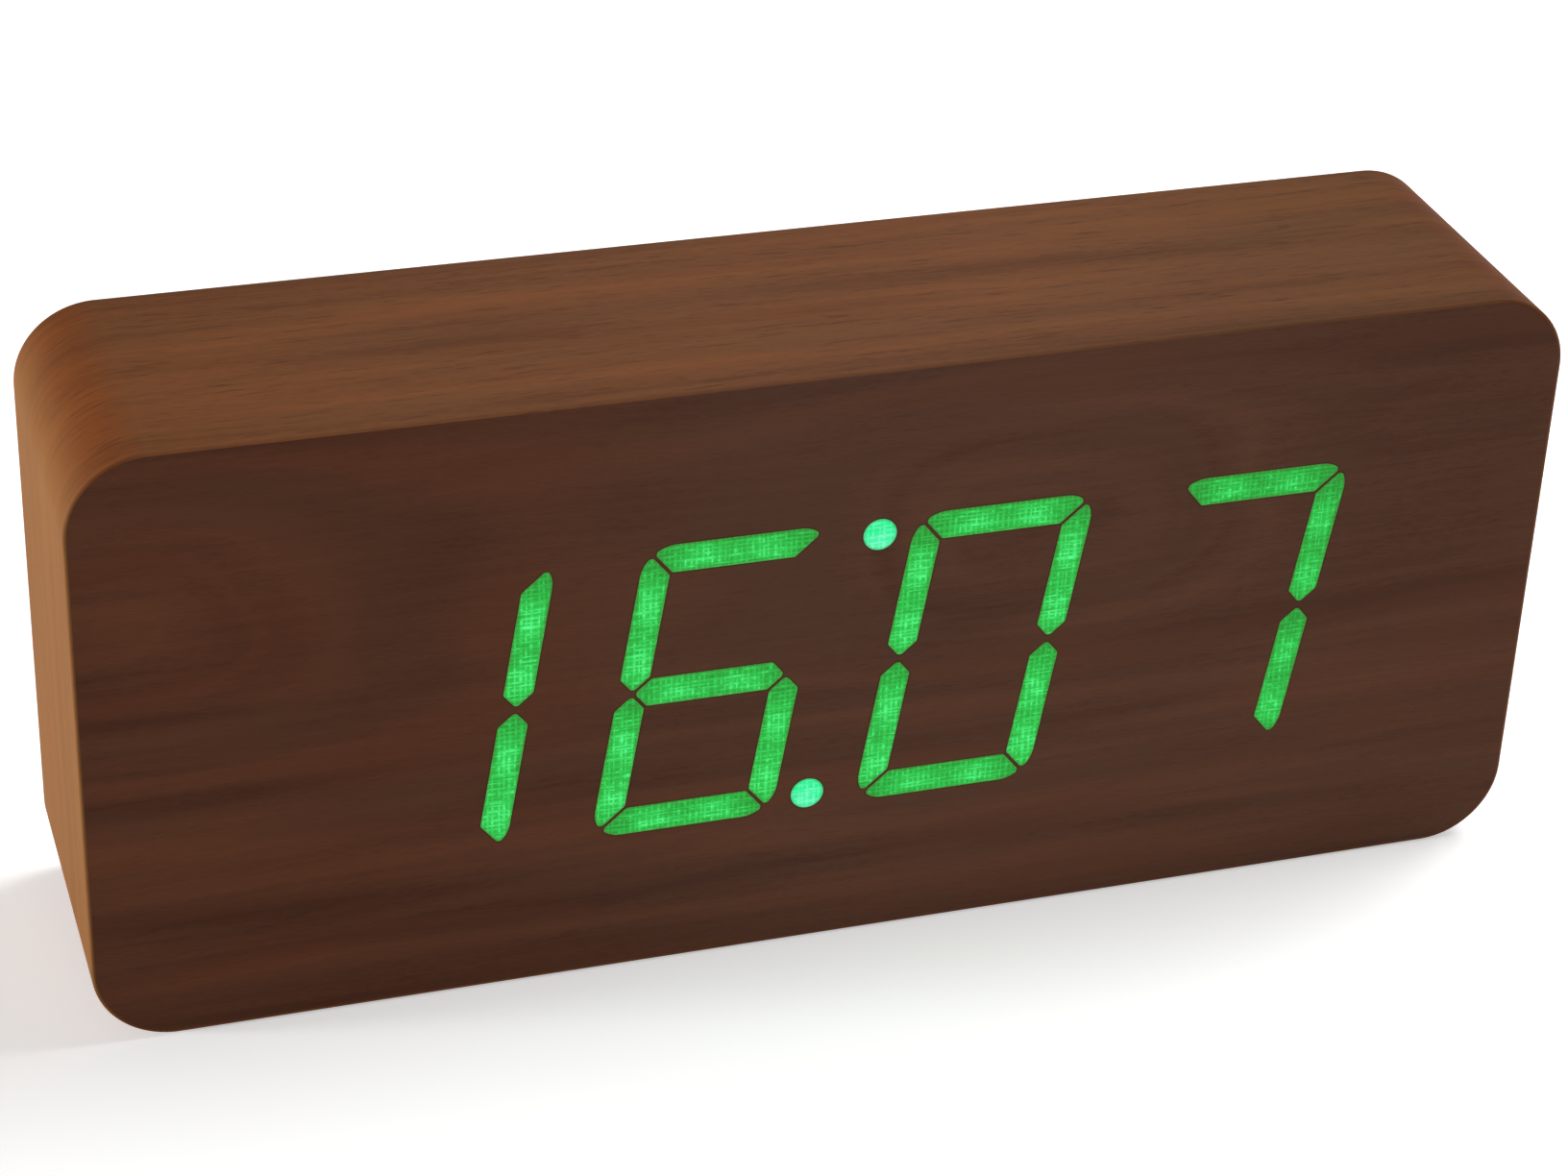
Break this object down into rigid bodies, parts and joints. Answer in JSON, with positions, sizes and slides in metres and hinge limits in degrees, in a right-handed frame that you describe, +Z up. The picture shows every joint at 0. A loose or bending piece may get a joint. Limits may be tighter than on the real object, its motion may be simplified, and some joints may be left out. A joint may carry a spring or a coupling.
{
  "type": "digital clock",
  "caption": "Veneered wooden block clock with slanted green segment digits shining through its face; buttons, battery door and power socket on the back.",
  "frame": {"origin": "middle of the base", "axes": "+X to the viewer's right along the width, +Y from the face to the back, +Z up"},
  "size_m": [0.21, 0.045, 0.09],
  "materials": {
    "walnut_veneer": "satin walnut veneer, grain along the face",
    "lit_veneer": "walnut veneer lit green from behind, woven backing showing through",
    "fibreboard": "raw fibreboard",
    "scrim": "thin woven backing",
    "panel_plastic": "black moulding with a fine spark texture",
    "button_plastic": "dark grey moulding",
    "reflector_plastic": "black moulding",
    "lens_resin": "cast milky resin",
    "led_plastic": "moulded chip package",
    "circuit_board": "green solder mask",
    "chip_plastic": "black epoxy",
    "switch_plastic": "grey moulding",
    "plunger_plastic": "white moulding",
    "socket_plastic": "off-white moulding",
    "ribbon_plastic": "grey ribbed cable skin",
    "screw_steel": "zinc plated",
    "contact_steel": "nickel plated spring steel",
    "crystal_can": "drawn can",
    "mic_can": "drawn can",
    "capacitor_sleeve": "shrunk sleeve",
    "buzzer_plastic": "black moulding",
    "socket_pin": "nickel flashed",
    "cell_can": "bright plated can",
    "cell_sleeve": "plain shrunk sleeve, no print"
  },
  "bodies": {
    "case": {"front_veneer": "walnut_veneer", "lit_segments": "lit_veneer", "side_veneer": "walnut_veneer", "rear_veneer": "walnut_veneer", "veneer_scrim": "scrim", "front_board": "fibreboard", "core_frame": "fibreboard", "rear_board": "fibreboard", "display_reflector": "reflector_plastic", "segment_lenses": "lens_resin", "segment_leds": "led_plastic", "display_board": "circuit_board", "display_screws": "screw_steel", "display_driver": "chip_plastic", "display_socket": "socket_plastic", "ribbon_cable": "ribbon_plastic", "main_socket": "socket_plastic", "main_board": "circuit_board", "board_screws": "screw_steel", "clock_chip": "chip_plastic", "clock_crystal": "crystal_can", "driver_transistors": "chip_plastic", "smoothing_capacitor": "capacitor_sleeve", "buzzer": "buzzer_plastic", "microphone": "mic_can", "power_socket": "panel_plastic", "power_socket_pin": "socket_pin", "switch_bodies": "switch_plastic", "rear_panel": "panel_plastic", "panel_screws": "screw_steel", "battery_1": "cell_can", "battery_2": "cell_can", "battery_3": "cell_can", "battery_4": "cell_can", "battery_sleeves": "cell_sleeve", "contact_plates": "contact_steel", "contact_springs": "contact_steel"},
    "set_button_body": {"set_button": "button_plastic", "set_plunger": "plunger_plastic"},
    "up_button_body": {"up_button": "button_plastic", "up_plunger": "plunger_plastic"},
    "down_button_body": {"down_button": "button_plastic", "down_plunger": "plunger_plastic"},
    "door_body": {"battery_door": "panel_plastic"}
  },
  "joints": [
    {"name": "set_button_press", "type": "slide", "parent": "case", "child": "set_button_body", "axis": [0, -1, 0], "range_m": [0, 0.0005], "stiffness_N_per_m": 600, "springref_m": -0.0005},
    {"name": "up_button_press", "type": "slide", "parent": "case", "child": "up_button_body", "axis": [0, -1, 0], "range_m": [0, 0.0005], "stiffness_N_per_m": 600, "springref_m": -0.0005},
    {"name": "down_button_press", "type": "slide", "parent": "case", "child": "down_button_body", "axis": [0, -1, 0], "range_m": [0, 0.0005], "stiffness_N_per_m": 600, "springref_m": -0.0005},
    {"name": "battery_door_swing", "type": "hinge", "parent": "case", "child": "door_body", "pos_m": [0.028, 0.0193, 0.0674], "axis": [1, 0, 0], "range_deg": [0, 100]}
  ]
}
